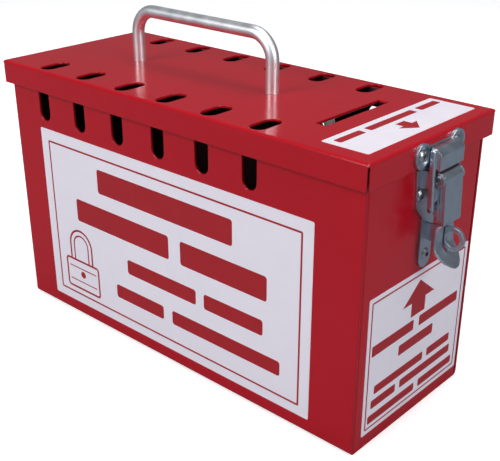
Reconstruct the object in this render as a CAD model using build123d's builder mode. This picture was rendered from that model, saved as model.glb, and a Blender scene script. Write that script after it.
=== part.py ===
from build123d import *

import os

os.makedirs("parts", exist_ok=True)

# Group lockout box: a steel box with padlock slots, a hinged lid, a carry handle and a draw latch.
# All sizes are millimetres. X runs along the box towards the latch, Y to the rear and Z up.
# The origin is the middle of the bottom face.

# Driving dimensions: box body
box_length = 254.0
box_width = 98.3
wall_height = 151.5
sheet = 1.2
wrap_bend = 2.4
panel_flange = 12.0
panel_bend = 1.8
panel_fit = 0.05

# Driving dimensions: lid
lid_end_overhang = 3.0
lid_side_overhang = 3.7
lid_rest_gap = 0.3
lid_flange = 13.0
lid_bend = 1.5
lid_slit = 0.8

# Driving dimensions: padlock slots
slot_count = 6
slot_pitch = 31.75
slot_width = 9.5
slot_length = 18.5
front_slots_middle_x = -19.1
rear_slots_middle_x = -16.0
lid_slots_middle_x = -16.0
lid_slot_inset = 11.65
wall_slot_length = 20.4
wall_slot_drop = 8.15

# Driving dimensions: key slot and the guard under it
key_slot_from_end = 47.6
key_slot_y = 1.0
key_slot_width = 6.4
key_slot_length = 51.0
guard_sheet = 1.0
guard_length = 50.0
guard_depth = 13.0
guard_setback = 1.6
guard_tab_offset = -12.8
guard_tab_width = 7.2
guard_tab_lean = 1.9
guard_tab_drop = 7.0
guard_corner_cut = 2.2
guard_corner_height = 5.0

# Driving dimensions: carry handle and its fixings
rod_diameter = 7.0
handle_span = 101.6
handle_reach = 29.5
handle_bend = 13.5
screw_diameter = 4.0
screw_length = 12.0
screw_head_diameter = 7.6
screw_head_height = 2.6
washer_diameter = 9.6
washer_thickness = 0.8
thread_fit = 0.05
hole_fit = 0.15

# Driving dimensions: hinge
hinge_width = 76.0
hinge_sheet = 1.0
hinge_pin_diameter = 2.0
hinge_barrel_diameter = 4.0
hinge_out = 2.4
hinge_drop = 2.4
hinge_knuckles = 5
knuckle_gap = 0.3
knuckle_relief = 0.4
body_leaf_height = 16.0
lid_leaf_height = 10.4
body_leaf_rivet_y = (-28.0, 0.0, 28.0)
lid_leaf_rivet_y = (-14.0, 14.0)
running_fit = 0.06
fixed_fit = 0.03

# Driving dimensions: rivets
rivet_shank = 3.2
rivet_head_diameter = 6.0
rivet_head_height = 1.2
rivet_hollow = 2.4
rivet_hollow_depth = 2.2
rivet_tail_diameter = 4.8
rivet_tail_height = 1.8
flat_tail_height = 0.8
rivet_fit = 0.05

# Driving dimensions: latch base and padlock eye
latch_y = 1.2
latch_sheet = 1.2
base_below_lid = 2.0
base_height = 52.5
base_top_width = 25.6
base_waist_width = 22.0
base_waist_drop = 19.0
base_neck_drop = 25.5
base_tail_width = 10.0
base_rivet_spacing = 17.0
base_rivet_drop = 13.0
tail_rivet_rise = 7.1
ear_radius = 3.4
ear_gap = 0.15
ear_root_height = 9.0
ear_root_drop = 0.6
lever_pivot_out = 9.5
lever_pivot_drop = 3.5
eye_out = 15.3
eye_drop = 33.3
eye_diameter = 12.0
eye_hole = 7.8
eye_thickness = 1.8
eye_root_height = 8.0

# Driving dimensions: lever
lever_width = 14.8
lever_pin_diameter = 3.4
lever_pin_head = 4.6
lever_pin_head_height = 0.8
lever_pin_hollow = 2.4
knuckle_wall = 1.6
lever_front_drop = 21.5
lever_front_flare = 1.05
lever_neck_in = 3.1
lever_neck_drop = 2.6
lever_shank_drop = 10.4
tongue_width = 16.8
tongue_flare_out = 8.0
tongue_flare_drop = 9.3
tongue_slot_width = 3.4
tongue_slot_play = 0.75
lever_side_depth = 3.9
side_groove = 0.6
side_groove_depth = 0.45
link_pin_in = 1.5
link_pin_drop = 14.1
link_pin_diameter = 1.8
link_pin_collar = 3.0
link_lug_radius = 2.3

# Driving dimensions: link
link_sheet = 1.0
link_leg_thickness = 1.5
link_leg_round = 0.7
link_leg_gap = 10.0
link_leg_foot_radius = 1.6
link_leg_head_radius = 1.3
link_cover_bottom = 5.2
link_cover_round = 1.5
link_cover_rise = 3.0
link_wall_inset = 1.1
hook_play = 0.4
hook_lift = 1.0

# Driving dimensions: keeper on the lid
keeper_sheet = 1.0
keeper_rivet_spacing = 29.0
keeper_rivet_rise = 6.1
keeper_ear_diameter = 12.0
keeper_rim_width = 1.4
keeper_rim_height = 0.7
keeper_bar_height = 7.0
keeper_hook_width = 17.0
keeper_trough = 4.4
keeper_floor_rise = 3.5
keeper_lip_height = 1.9
keeper_rivet_head = 6.4

# Driving dimensions: labels
label_thickness = 0.15
label_corner = 1.0
front_label_size = (204.3, 108.5)
front_label_left = 22.7
front_label_bottom = 8.5
end_label_size = (87.5, 76.5)
end_label_y = 2.25
end_label_bottom = 7.0
top_label_size = (25.5, 89.0)
top_label_from_end = 7.5
top_label_y = 1.5

# Places that follow from the driving dimensions
wall_x = box_length / 2
side_y = box_width / 2
lid_length = box_length + 2 * lid_end_overhang
lid_width = box_width + 2 * lid_side_overhang
flange_x = lid_length / 2
lid_under_z = wall_height + lid_rest_gap
lid_top_z = lid_under_z + sheet
flange_z = lid_top_z - lid_flange
wall_slot_z = flange_z - wall_slot_drop
lid_slot_y = lid_width / 2 - lid_slot_inset
key_slot_x = flange_x - key_slot_from_end
slot_steps = [(i - (slot_count - 1) / 2) * slot_pitch for i in range(slot_count)]
handle_x = front_slots_middle_x
handle_feet = [(handle_x - handle_span / 2, 0.0), (handle_x + handle_span / 2, 0.0)]
hinge_x = -wall_x - hinge_out
hinge_z = flange_z - hinge_drop
hinge_relief_radius = hinge_barrel_diameter / 2 + knuckle_relief
body_leaf_rivet_z = hinge_z - body_leaf_height / 2 - hinge_relief_radius
lid_leaf_rivet_z = hinge_z + lid_leaf_height / 2 + hinge_relief_radius
base_top_z = flange_z - base_below_lid
base_rivets = [
    (latch_y - base_rivet_spacing / 2, base_top_z - base_rivet_drop),
    (latch_y + base_rivet_spacing / 2, base_top_z - base_rivet_drop),
    (latch_y, base_top_z - base_height + tail_rivet_rise),
]
keeper_z = flange_z + keeper_rivet_rise
keeper_rivet_places = [
    (latch_y - keeper_rivet_spacing / 2, keeper_z),
    (latch_y + keeper_rivet_spacing / 2, keeper_z),
]
pivot_x = wall_x + lever_pivot_out
pivot_z = base_top_z - lever_pivot_drop
link_x = pivot_x - link_pin_in
link_z = pivot_z - link_pin_drop
eye_x = wall_x + eye_out
eye_z = base_top_z - eye_drop
lever_half = lever_width / 2
knuckle_bore = lever_pin_diameter / 2 + running_fit
knuckle_radius = knuckle_bore + knuckle_wall


def across(y):
    """A plane square to Y, with X to the right and Z up, at the given Y."""
    return Plane.XZ.offset(-y)


def rivet(face_x, y, z, out, grip, head_diameter, tail_height):
    """One hollow rivet along X: its head lies on face_x and faces out, its tail closes the grip."""
    seat = Plane(origin=(face_x, y, z), x_dir=(out, 0, 0), z_dir=(0, -out, 0))
    head = head_diameter / 2
    with BuildSketch(seat) as section:
        with BuildLine():
            crown = ThreePointArc(
                (rivet_head_height, rivet_hollow / 2),
                (rivet_head_height * 0.75, head * 0.75),
                (0, head),
            )
            Polyline(
                crown @ 1,
                (0, rivet_shank / 2),
                (-grip, rivet_shank / 2),
                (-grip, rivet_tail_diameter / 2),
                (-grip - tail_height, rivet_tail_diameter * 0.4),
                (-grip - tail_height, 0),
                (rivet_head_height - rivet_hollow_depth, 0),
                (rivet_head_height - rivet_hollow_depth, rivet_hollow / 2),
                crown @ 0,
            )
        make_face()
    revolve(section.sketch, axis=Axis((face_x, y, z), (1, 0, 0)))


# Body wrap: front wall, bottom and rear wall bent from one sheet, with a row of slots in each wall
with BuildPart() as body_wrap:
    with BuildSketch(Plane.YZ.offset(-wall_x)):
        with BuildLine():
            FilletPolyline(
                (-side_y, wall_height),
                (-side_y, 0),
                (side_y, 0),
                (side_y, wall_height),
                radius=wrap_bend,
            )
            offset(amount=sheet, side=Side.LEFT)
        make_face()
    extrude(amount=box_length)
    for row_y, row_middle_x in ((-side_y, front_slots_middle_x), (side_y, rear_slots_middle_x)):
        with BuildSketch(across(row_y)):
            with Locations([(row_middle_x + step, wall_slot_z) for step in slot_steps]):
                SlotOverall(wall_slot_length, slot_width, rotation=90)
        extrude(amount=wrap_bend, both=True, mode=Mode.SUBTRACT)
body_wrap.part.label = "body_wrap"
export_step(body_wrap.part, "parts/body_wrap.step")

# End panels: flat ends with welding flanges that lie inside the wrap
panel_half = side_y - sheet - panel_fit
panel_holes = {
    "end_panel_right": base_rivets,
    "end_panel_left": [(y, body_leaf_rivet_z) for y in body_leaf_rivet_y],
}
for panel_side, panel_name in ((1, "end_panel_right"), (-1, "end_panel_left")):
    outer_x = panel_side * (wall_x - sheet / 2)
    inner_x = panel_side * (wall_x - panel_flange)
    with BuildPart() as end_panel:
        with BuildSketch(Plane.XY):
            with BuildLine():
                FilletPolyline(
                    (inner_x, -panel_half + sheet / 2),
                    (outer_x, -panel_half + sheet / 2),
                    (outer_x, panel_half - sheet / 2),
                    (inner_x, panel_half - sheet / 2),
                    radius=panel_bend - sheet / 2,
                )
                offset(amount=sheet / 2, side=Side.BOTH)
            make_face()
        extrude(amount=wall_height)
        with BuildSketch(Plane.YZ):
            with BuildLine():
                FilletPolyline(
                    (-panel_half, wall_height),
                    (-panel_half, sheet + panel_fit),
                    (panel_half, sheet + panel_fit),
                    (panel_half, wall_height),
                    radius=wrap_bend - sheet,
                )
                Line((panel_half, wall_height), (-panel_half, wall_height))
            make_face()
        extrude(amount=wall_x, both=True, mode=Mode.INTERSECT)
        with BuildSketch(Plane.YZ.offset(outer_x)):
            with Locations(panel_holes[panel_name]):
                Circle(rivet_shank / 2 + rivet_fit)
        extrude(amount=sheet, both=True, mode=Mode.SUBTRACT)
    end_panel.part.label = panel_name
    export_step(end_panel.part, f"parts/{panel_name}.step")

# Lid: a shallow pan with slit corners, two rows of slots and the key slot
with BuildPart() as lid:
    with BuildSketch(Plane.XY.offset(flange_z)):
        Rectangle(lid_length, lid_width)
    extrude(amount=lid_flange)
    fillet(lid.faces().sort_by(Axis.Z)[-1].edges(), radius=lid_bend)
    offset(amount=-sheet, openings=lid.faces().sort_by(Axis.Z)[0])
    with BuildSketch(Plane.XY.offset(flange_z)):
        for corner_x in (-flange_x, flange_x):
            for corner_y in (-lid_width / 2, lid_width / 2):
                with Locations((corner_x, corner_y)):
                    Rectangle(4 * sheet, lid_slit, rotation=45 if corner_x * corner_y > 0 else -45)
    extrude(amount=lid_flange - lid_bend, mode=Mode.SUBTRACT)
    with BuildSketch(Plane.XY.offset(lid_top_z)):
        for row_side in (-1, 1):
            with Locations([(lid_slots_middle_x + step, row_side * lid_slot_y) for step in slot_steps]):
                SlotOverall(slot_length, slot_width, rotation=90)
        with Locations((key_slot_x, key_slot_y)):
            Rectangle(key_slot_width, key_slot_length)
        with Locations(handle_feet):
            Circle(screw_diameter / 2 + hole_fit)
    extrude(amount=-2 * sheet, mode=Mode.SUBTRACT)
    with BuildSketch(Plane.YZ.offset(flange_x - sheet / 2)):
        with Locations(keeper_rivet_places):
            Circle(rivet_shank / 2 + rivet_fit)
    extrude(amount=sheet, both=True, mode=Mode.SUBTRACT)
    with BuildSketch(Plane.YZ.offset(-flange_x + sheet / 2)):
        with Locations([(y, lid_leaf_rivet_z) for y in lid_leaf_rivet_y]):
            Circle(rivet_shank / 2 + rivet_fit)
    extrude(amount=sheet, both=True, mode=Mode.SUBTRACT)
lid.part.label = "lid"
export_step(lid.part, "parts/lid.step")

# Key slot guard: a strip welded under the lid, with a tab bent down at the key slot's edge
guard_edge_x = key_slot_x - key_slot_width / 2 - guard_setback
guard_mid_z = lid_under_z - guard_sheet / 2
with BuildPart() as key_slot_guard:
    with BuildSketch(Plane.XY.offset(lid_under_z)):
        with Locations((guard_edge_x - guard_depth / 2, key_slot_y)):
            Rectangle(guard_depth, guard_length)
    extrude(amount=-guard_sheet)
    with BuildSketch(across(key_slot_y + guard_tab_offset)):
        with BuildLine():
            FilletPolyline(
                (guard_edge_x - guard_depth / 2, guard_mid_z),
                (guard_edge_x, guard_mid_z),
                (guard_edge_x + guard_tab_lean, guard_mid_z - guard_tab_drop),
                radius=guard_sheet,
            )
            offset(amount=guard_sheet / 2, side=Side.BOTH)
        make_face()
    extrude(amount=guard_tab_width / 2, both=True)
    tab_side_y = key_slot_y + guard_tab_offset - guard_tab_width / 2
    tab_end_z = guard_mid_z - guard_tab_drop - guard_sheet
    with BuildSketch(Plane.YZ.offset(guard_edge_x)):
        with BuildLine():
            Polyline(
                (tab_side_y, tab_end_z),
                (tab_side_y + guard_corner_cut, tab_end_z),
                (tab_side_y, tab_end_z + guard_corner_height),
                close=True,
            )
        make_face()
    extrude(amount=3 * guard_sheet, both=True, mode=Mode.SUBTRACT)
key_slot_guard.part.label = "key_slot_guard"
export_step(key_slot_guard.part, "parts/key_slot_guard.step")

# Carry handle: a bent round bar with a tapped bore in each foot
handle_top_z = lid_top_z + handle_reach
with BuildPart() as carry_handle:
    with BuildLine(across(0)):
        FilletPolyline(
            (handle_feet[0][0], lid_top_z),
            (handle_feet[0][0], handle_top_z),
            (handle_feet[1][0], handle_top_z),
            (handle_feet[1][0], lid_top_z),
            radius=handle_bend,
        )
    with BuildSketch(Plane(origin=(handle_feet[0][0], 0, lid_top_z), z_dir=(0, 0, 1))):
        Circle(rod_diameter / 2)
    sweep()
    with BuildSketch(Plane.XY.offset(lid_top_z)):
        with Locations(handle_feet):
            Circle(screw_diameter / 2 + thread_fit)
    extrude(amount=screw_length, mode=Mode.SUBTRACT)
carry_handle.part.label = "carry_handle"
export_step(carry_handle.part, "parts/carry_handle.step")

# Handle washers under the lid
with BuildPart() as handle_washers:
    with BuildSketch(Plane.XY.offset(lid_under_z)):
        with Locations(handle_feet):
            Circle(washer_diameter / 2)
            Circle(screw_diameter / 2 + hole_fit, mode=Mode.SUBTRACT)
    extrude(amount=-washer_thickness)
handle_washers.part.label = "handle_washers"
export_step(handle_washers.part, "parts/handle_washers.step")

# Handle screws: pan heads with a cross recess, pointing up into the handle's feet
screw_seat_z = lid_under_z - washer_thickness
with BuildPart() as handle_screws:
    with BuildSketch(Plane.XY.offset(screw_seat_z)):
        with Locations(handle_feet):
            Circle(screw_head_diameter / 2)
    extrude(amount=-screw_head_height)
    fillet(handle_screws.faces().group_by(Axis.Z)[0].edges(), radius=screw_head_height * 0.4)
    with BuildSketch(Plane.XY.offset(screw_seat_z)):
        with Locations(handle_feet):
            Circle(screw_diameter / 2)
    extrude(amount=screw_length)
    with BuildSketch(Plane.XY.offset(screw_seat_z - screw_head_height)):
        with Locations(handle_feet):
            Rectangle(screw_diameter, screw_diameter / 4)
            Rectangle(screw_diameter / 4, screw_diameter)
    extrude(amount=screw_head_height / 2, mode=Mode.SUBTRACT)
handle_screws.part.label = "handle_screws"
export_step(handle_screws.part, "parts/handle_screws.step")

# Hinge: knuckles alternate between the two leaves, starting and ending with the body leaf
knuckle_pitch = hinge_width / hinge_knuckles
knuckle_places = [(i - (hinge_knuckles - 1) / 2) * knuckle_pitch for i in range(hinge_knuckles)]
body_knuckles = knuckle_places[0::2]
lid_knuckles = knuckle_places[1::2]
knuckle_length = knuckle_pitch - knuckle_gap
relief_length = knuckle_pitch + knuckle_gap

# Body leaf: riveted to the left end panel, its knuckles hold the pin
with BuildPart() as hinge_leaf_body:
    with BuildSketch(Plane.YZ.offset(-wall_x)):
        with Locations((0, hinge_z - (body_leaf_height + hinge_relief_radius) / 2)):
            Rectangle(hinge_width, body_leaf_height + hinge_relief_radius)
        with Locations([(y, hinge_z) for y in lid_knuckles]):
            Rectangle(relief_length, 2 * hinge_relief_radius, mode=Mode.SUBTRACT)
        with Locations([(y, body_leaf_rivet_z) for y in body_leaf_rivet_y]):
            Circle(rivet_shank / 2 + rivet_fit, mode=Mode.SUBTRACT)
    extrude(amount=-hinge_sheet)
    for knuckle_y in body_knuckles:
        with BuildSketch(across(knuckle_y)):
            with Locations((hinge_x, hinge_z)):
                Circle(hinge_barrel_diameter / 2)
                Circle(hinge_pin_diameter / 2 + fixed_fit, mode=Mode.SUBTRACT)
        extrude(amount=knuckle_length / 2, both=True)
hinge_leaf_body.part.label = "hinge_leaf_body"
export_step(hinge_leaf_body.part, "parts/hinge_leaf_body.step")

# Lid leaf: riveted to the lid's left flange, its knuckles turn on the pin
with BuildPart() as hinge_leaf_lid:
    with BuildSketch(Plane.YZ.offset(-flange_x)):
        with Locations((0, hinge_z + (lid_leaf_height + hinge_relief_radius) / 2)):
            Rectangle(hinge_width, lid_leaf_height + hinge_relief_radius)
        with Locations([(y, hinge_z) for y in body_knuckles]):
            Rectangle(relief_length, 2 * hinge_relief_radius, mode=Mode.SUBTRACT)
        with Locations([(y, lid_leaf_rivet_z) for y in lid_leaf_rivet_y]):
            Circle(rivet_shank / 2 + rivet_fit, mode=Mode.SUBTRACT)
    extrude(amount=-hinge_sheet)
    for knuckle_y in lid_knuckles:
        with BuildSketch(across(knuckle_y)):
            with Locations((hinge_x, hinge_z)):
                Circle(hinge_barrel_diameter / 2)
        extrude(amount=knuckle_length / 2, both=True)
    with BuildSketch(across(0)):
        with Locations((hinge_x, hinge_z)):
            Circle(hinge_pin_diameter / 2 + running_fit)
    extrude(amount=hinge_width / 2, both=True, mode=Mode.SUBTRACT)
hinge_leaf_lid.part.label = "hinge_leaf_lid"
export_step(hinge_leaf_lid.part, "parts/hinge_leaf_lid.step")

# Hinge pin
with BuildPart() as hinge_pin:
    with BuildSketch(across(0)):
        with Locations((hinge_x, hinge_z)):
            Circle(hinge_pin_diameter / 2)
    extrude(amount=hinge_width / 2 + knuckle_gap, both=True)
    chamfer(hinge_pin.edges().filter_by(GeomType.CIRCLE), length=hinge_pin_diameter * 0.15)
hinge_pin.part.label = "hinge_pin"
export_step(hinge_pin.part, "parts/hinge_pin.step")

# Hinge rivets: through the body leaf and end panel, and through the lid leaf and flange
with BuildPart() as hinge_rivets_body:
    for rivet_y in body_leaf_rivet_y:
        rivet(
            -wall_x - hinge_sheet,
            rivet_y,
            body_leaf_rivet_z,
            -1,
            hinge_sheet + sheet,
            rivet_head_diameter,
            rivet_tail_height,
        )
hinge_rivets_body.part.label = "hinge_rivets_body"
export_step(hinge_rivets_body.part, "parts/hinge_rivets_body.step")

with BuildPart() as hinge_rivets_lid:
    for rivet_y in lid_leaf_rivet_y:
        rivet(
            -flange_x - hinge_sheet,
            rivet_y,
            lid_leaf_rivet_z,
            -1,
            hinge_sheet + sheet,
            rivet_head_diameter,
            flat_tail_height,
        )
hinge_rivets_lid.part.label = "hinge_rivets_lid"
export_step(hinge_rivets_lid.part, "parts/hinge_rivets_lid.step")

# Latch base: a tapering plate on the end panel with two ears for the lever's pin
ear_inner = lever_half + ear_gap
ear_middle = ear_inner + latch_sheet / 2
base_end_z = base_top_z - base_height
with BuildPart() as latch_base:
    with BuildSketch(Plane.YZ.offset(wall_x)) as base_outline:
        with BuildLine():
            Polyline(
                (latch_y, base_top_z),
                (latch_y + base_top_width / 2, base_top_z),
                (latch_y + base_waist_width / 2, base_top_z - base_waist_drop),
                (latch_y + base_tail_width / 2, base_top_z - base_neck_drop),
                (latch_y + base_tail_width / 2, base_end_z),
                (latch_y, base_end_z),
            )
            mirror(about=Plane.YZ.offset(latch_y))
        make_face()
        tail_corners = base_outline.vertices().group_by(Axis.Y)[0].filter_by(
            lambda corner: abs(corner.X - latch_y) > base_tail_width / 4
        )
        fillet(tail_corners, radius=base_tail_width / 2 - fixed_fit)
        with Locations(base_rivets):
            Circle(rivet_shank / 2 + rivet_fit, mode=Mode.SUBTRACT)
        with Locations((latch_y, eye_z)):
            Rectangle(eye_thickness + 2 * fixed_fit, eye_root_height + 2 * fixed_fit, mode=Mode.SUBTRACT)
    extrude(amount=latch_sheet)
    for ear_side in (-1, 1):
        with BuildSketch(across(latch_y + ear_side * ear_middle)):
            with Locations((pivot_x, pivot_z)):
                Circle(ear_radius)
            with Locations((wall_x + latch_sheet / 2, base_top_z - ear_root_drop - ear_root_height / 2)):
                Rectangle(latch_sheet, ear_root_height)
            make_hull()
            with Locations((pivot_x, pivot_z)):
                Circle(lever_pin_diameter / 2 + fixed_fit, mode=Mode.SUBTRACT)
        extrude(amount=latch_sheet / 2, both=True)
latch_base.part.label = "latch_base"
export_step(latch_base.part, "parts/latch_base.step")

# Padlock eye: a plate ring that stands square to the wall, let into the latch base
with BuildPart() as padlock_eye:
    with BuildSketch(across(latch_y)):
        with Locations((eye_x, eye_z)):
            Circle(eye_diameter / 2)
        with Locations((wall_x + latch_sheet * 1.5, eye_z)):
            Rectangle(latch_sheet, eye_root_height)
        make_hull()
        with Locations((wall_x + latch_sheet / 2 + fixed_fit, eye_z)):
            Rectangle(latch_sheet, eye_root_height)
        with Locations((eye_x, eye_z)):
            Circle(eye_hole / 2, mode=Mode.SUBTRACT)
    extrude(amount=eye_thickness / 2, both=True)
padlock_eye.part.label = "padlock_eye"
export_step(padlock_eye.part, "parts/padlock_eye.step")

# Latch base rivets
with BuildPart() as latch_base_rivets:
    for rivet_y, rivet_z in base_rivets:
        rivet(
            wall_x + latch_sheet,
            rivet_y,
            rivet_z,
            1,
            latch_sheet + sheet,
            rivet_head_diameter,
            rivet_tail_height,
        )
latch_base_rivets.part.label = "latch_base_rivets"
export_step(latch_base_rivets.part, "parts/latch_base_rivets.step")

# Lever pivot pin: spread at both ends over the ears
ear_outer = ear_inner + latch_sheet
with BuildPart() as lever_pivot_pin:
    with BuildSketch(across(latch_y)):
        with Locations((pivot_x, pivot_z)):
            Circle(lever_pin_diameter / 2)
    extrude(amount=ear_outer + lever_pin_head_height, both=True)
    for head_side in (-1, 1):
        with BuildSketch(across(latch_y + head_side * (ear_outer + lever_pin_head_height / 2 + fixed_fit))):
            with Locations((pivot_x, pivot_z)):
                Circle(lever_pin_head / 2)
        extrude(amount=lever_pin_head_height / 2, both=True)
    for end_side in (-1, 1):
        with BuildSketch(across(latch_y + end_side * (ear_outer + lever_pin_head_height))):
            with Locations((pivot_x, pivot_z)):
                Circle(lever_pin_hollow / 2)
        extrude(amount=lever_pin_head_height, both=True, mode=Mode.SUBTRACT)
lever_pivot_pin.part.label = "lever_pivot_pin"
export_step(lever_pivot_pin.part, "parts/lever_pivot_pin.step")

# Lever: one bent sheet with a knuckle on the pin, folded sides and a flared, slotted tongue
front_top_x = pivot_x + knuckle_radius
front_end_z = pivot_z - lever_front_drop
front_end_x = front_top_x + lever_front_flare
neck_x = front_end_x - latch_sheet / 2 - lever_neck_in
neck_z = front_end_z - lever_neck_drop
shank_z = neck_z - lever_shank_drop
tongue_x = neck_x + tongue_flare_out
tongue_z = shank_z - tongue_flare_drop
tongue_half = tongue_width / 2
eye_from_pivot = ((eye_x - pivot_x) ** 2 + (eye_z - pivot_z) ** 2) ** 0.5
slot_top_z = pivot_z - eye_from_pivot + eye_diameter / 2 + tongue_slot_play
slot_end_z = pivot_z - eye_from_pivot - eye_diameter / 2 - tongue_slot_play
side_end_z = front_end_z + latch_sheet
groove_top_z = pivot_z - knuckle_radius - side_groove


def front_x(z):
    """X of the lever's front face at height z, which leans out a little towards the tongue."""
    return front_top_x + lever_front_flare * (pivot_z - z) / lever_front_drop


with BuildPart() as latch_lever:
    with BuildSketch(across(latch_y)):
        with BuildLine():
            FilletPolyline(
                (front_top_x - latch_sheet / 2, pivot_z),
                (front_end_x - latch_sheet / 2, front_end_z),
                (neck_x, neck_z),
                (neck_x, shank_z),
                (tongue_x, tongue_z),
                radius=[latch_sheet, latch_sheet, 4 * latch_sheet],
            )
            offset(amount=latch_sheet / 2, side=Side.BOTH)
        make_face()
        with Locations((pivot_x, pivot_z)):
            Circle(knuckle_radius)
            Circle(knuckle_bore, mode=Mode.SUBTRACT)
        with Locations((pivot_x - knuckle_radius * 0.7, pivot_z - knuckle_radius * 0.7)):
            Rectangle(side_groove, 2 * knuckle_wall, rotation=-45, mode=Mode.SUBTRACT)
    extrude(amount=tongue_half, both=True)
    with BuildSketch(Plane.YZ.offset(wall_x)):
        with BuildLine():
            top_line = Polyline(
                (latch_y, pivot_z + 2 * knuckle_radius),
                (latch_y + lever_half, pivot_z + 2 * knuckle_radius),
                (latch_y + lever_half, front_end_z),
                (latch_y + lever_half - latch_sheet, front_end_z - latch_sheet),
            )
            shoulder = ThreePointArc(
                top_line @ 1,
                (latch_y + tongue_half * 0.95, (front_end_z + shank_z) / 2),
                (latch_y + tongue_half, shank_z),
            )
            ThreePointArc(
                shoulder @ 1,
                (latch_y + tongue_half * 0.72, shank_z - (shank_z - tongue_z) * 0.68),
                (latch_y, tongue_z),
            )
            mirror(about=Plane.YZ.offset(latch_y))
        make_face()
    extrude(amount=2 * eye_out, mode=Mode.INTERSECT)
    for flange_side in (-1, 1):
        with BuildSketch(across(latch_y + flange_side * (lever_half - latch_sheet / 2))):
            with BuildLine():
                Polyline(
                    (front_x(pivot_z) - latch_sheet / 2, pivot_z - knuckle_bore),
                    (front_x(side_end_z) - latch_sheet / 2, side_end_z),
                    (front_x(side_end_z) - lever_side_depth, side_end_z),
                    (front_x(pivot_z) - lever_side_depth, pivot_z - knuckle_bore),
                    close=True,
                )
            make_face()
        extrude(amount=latch_sheet / 2, both=True)
        with BuildSketch(across(latch_y + flange_side * (lever_half - latch_sheet / 2))):
            with Locations((link_x, link_z)):
                Circle(link_lug_radius)
            with Locations((front_x(link_z) - lever_side_depth + latch_sheet / 2, link_z)):
                Rectangle(latch_sheet, 4 * link_lug_radius)
            make_hull()
        extrude(amount=latch_sheet / 2, both=True)
        for groove in (1, 2):
            groove_in = latch_sheet + (groove - 0.5) * (lever_side_depth - latch_sheet) / 2
            groove_top_x = front_x(pivot_z) - groove_in
            groove_end_x = front_x(side_end_z) - groove_in
            with BuildSketch(across(latch_y + flange_side * lever_half)):
                with BuildLine():
                    Polyline(
                        (groove_top_x - side_groove / 2, groove_top_z),
                        (groove_top_x + side_groove / 2, groove_top_z),
                        (groove_end_x + side_groove / 2, side_end_z),
                        (groove_end_x - side_groove / 2, side_end_z),
                        close=True,
                    )
                make_face()
            extrude(amount=side_groove_depth, both=True, mode=Mode.SUBTRACT)
    with BuildSketch(across(latch_y)):
        with Locations((link_x, link_z)):
            Circle(link_pin_diameter / 2 + fixed_fit)
    extrude(amount=lever_width, both=True, mode=Mode.SUBTRACT)
    with BuildSketch(Plane.YZ.offset(wall_x)):
        with Locations((latch_y, (slot_top_z + slot_end_z) / 2)):
            SlotOverall(slot_top_z - slot_end_z, tongue_slot_width, rotation=90)
    extrude(amount=2 * eye_out, mode=Mode.SUBTRACT)
latch_lever.part.label = "latch_lever"
export_step(latch_lever.part, "parts/latch_lever.step")

# Link: two side legs on the lever's pins and a hooked cover that reaches over the keeper's lip
keeper_face_x = flange_x + keeper_sheet
lip_x = keeper_face_x + keeper_trough
floor_z = flange_z + keeper_floor_rise
floor_top_z = floor_z + keeper_sheet / 2
lip_top_z = floor_top_z + keeper_lip_height
hook_x = keeper_face_x + hook_play + link_sheet / 2
hook_z = floor_top_z + hook_lift
cover_x = lip_x + keeper_sheet + hook_play + link_sheet / 2
cover_top_z = lip_top_z + link_cover_rise
cover_bottom_z = pivot_z + link_cover_bottom
slope = 2.2 * link_sheet
leg_middle = link_leg_gap + link_leg_thickness / 2
with BuildPart() as latch_link:
    with BuildSketch(across(latch_y)):
        with BuildLine():
            FilletPolyline(
                (cover_x, cover_bottom_z),
                (cover_x, cover_top_z - slope),
                (cover_x - slope, cover_top_z),
                (hook_x, cover_top_z),
                (hook_x, hook_z),
                radius=link_sheet,
            )
            offset(amount=link_sheet / 2, side=Side.BOTH)
        make_face()
    extrude(amount=link_leg_gap + fixed_fit, both=True)
    for leg_side in (-1, 1):
        with BuildSketch(across(latch_y + leg_side * (link_leg_gap - link_wall_inset / 2 + fixed_fit))):
            with BuildLine():
                Polyline(
                    (cover_x, cover_bottom_z),
                    (cover_x, cover_top_z - slope),
                    (cover_x - slope, cover_top_z),
                    (hook_x + link_sheet, cover_top_z),
                    (hook_x + link_sheet, cover_bottom_z + link_sheet),
                    close=True,
                )
            make_face()
        extrude(amount=link_wall_inset / 2, both=True)
    with BuildSketch(Plane.XY.offset(cover_bottom_z - link_sheet)):
        with Locations((cover_x + link_sheet / 2 - link_leg_gap / 2, latch_y)):
            RectangleRounded(link_leg_gap, 2 * (link_leg_gap + fixed_fit), link_cover_round)
    extrude(amount=cover_top_z - cover_bottom_z + 2 * link_sheet, mode=Mode.INTERSECT)
    with BuildSketch(Plane.YZ.offset(keeper_face_x)):
        with Locations((latch_y, hook_z)):
            Rectangle(4 * link_leg_gap, 4 * keeper_trough)
            Rectangle(keeper_hook_width - 2 * hook_play, 4 * keeper_trough, mode=Mode.SUBTRACT)
    extrude(amount=hook_play + 1.2 * link_sheet, mode=Mode.SUBTRACT)
    for leg_side in (-1, 1):
        with BuildSketch(across(latch_y + leg_side * leg_middle)):
            with Locations((link_x, link_z)):
                Circle(link_leg_foot_radius)
            with Locations((hook_x + 2 * link_sheet, cover_top_z - link_leg_head_radius)):
                Circle(link_leg_head_radius)
            make_hull()
            with Locations((link_x, link_z)):
                Circle(link_pin_diameter / 2 + running_fit, mode=Mode.SUBTRACT)
        extrude(amount=link_leg_thickness / 2, both=True)
    side_faces = latch_link.faces().filter_by(Plane.XZ).sort_by(Axis.Y)
    leg_rims = side_faces[0].outer_wire().edges() + side_faces[-1].outer_wire().edges()
    fillet(leg_rims, radius=link_leg_round)
latch_link.part.label = "latch_link"
export_step(latch_link.part, "parts/latch_link.step")

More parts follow.
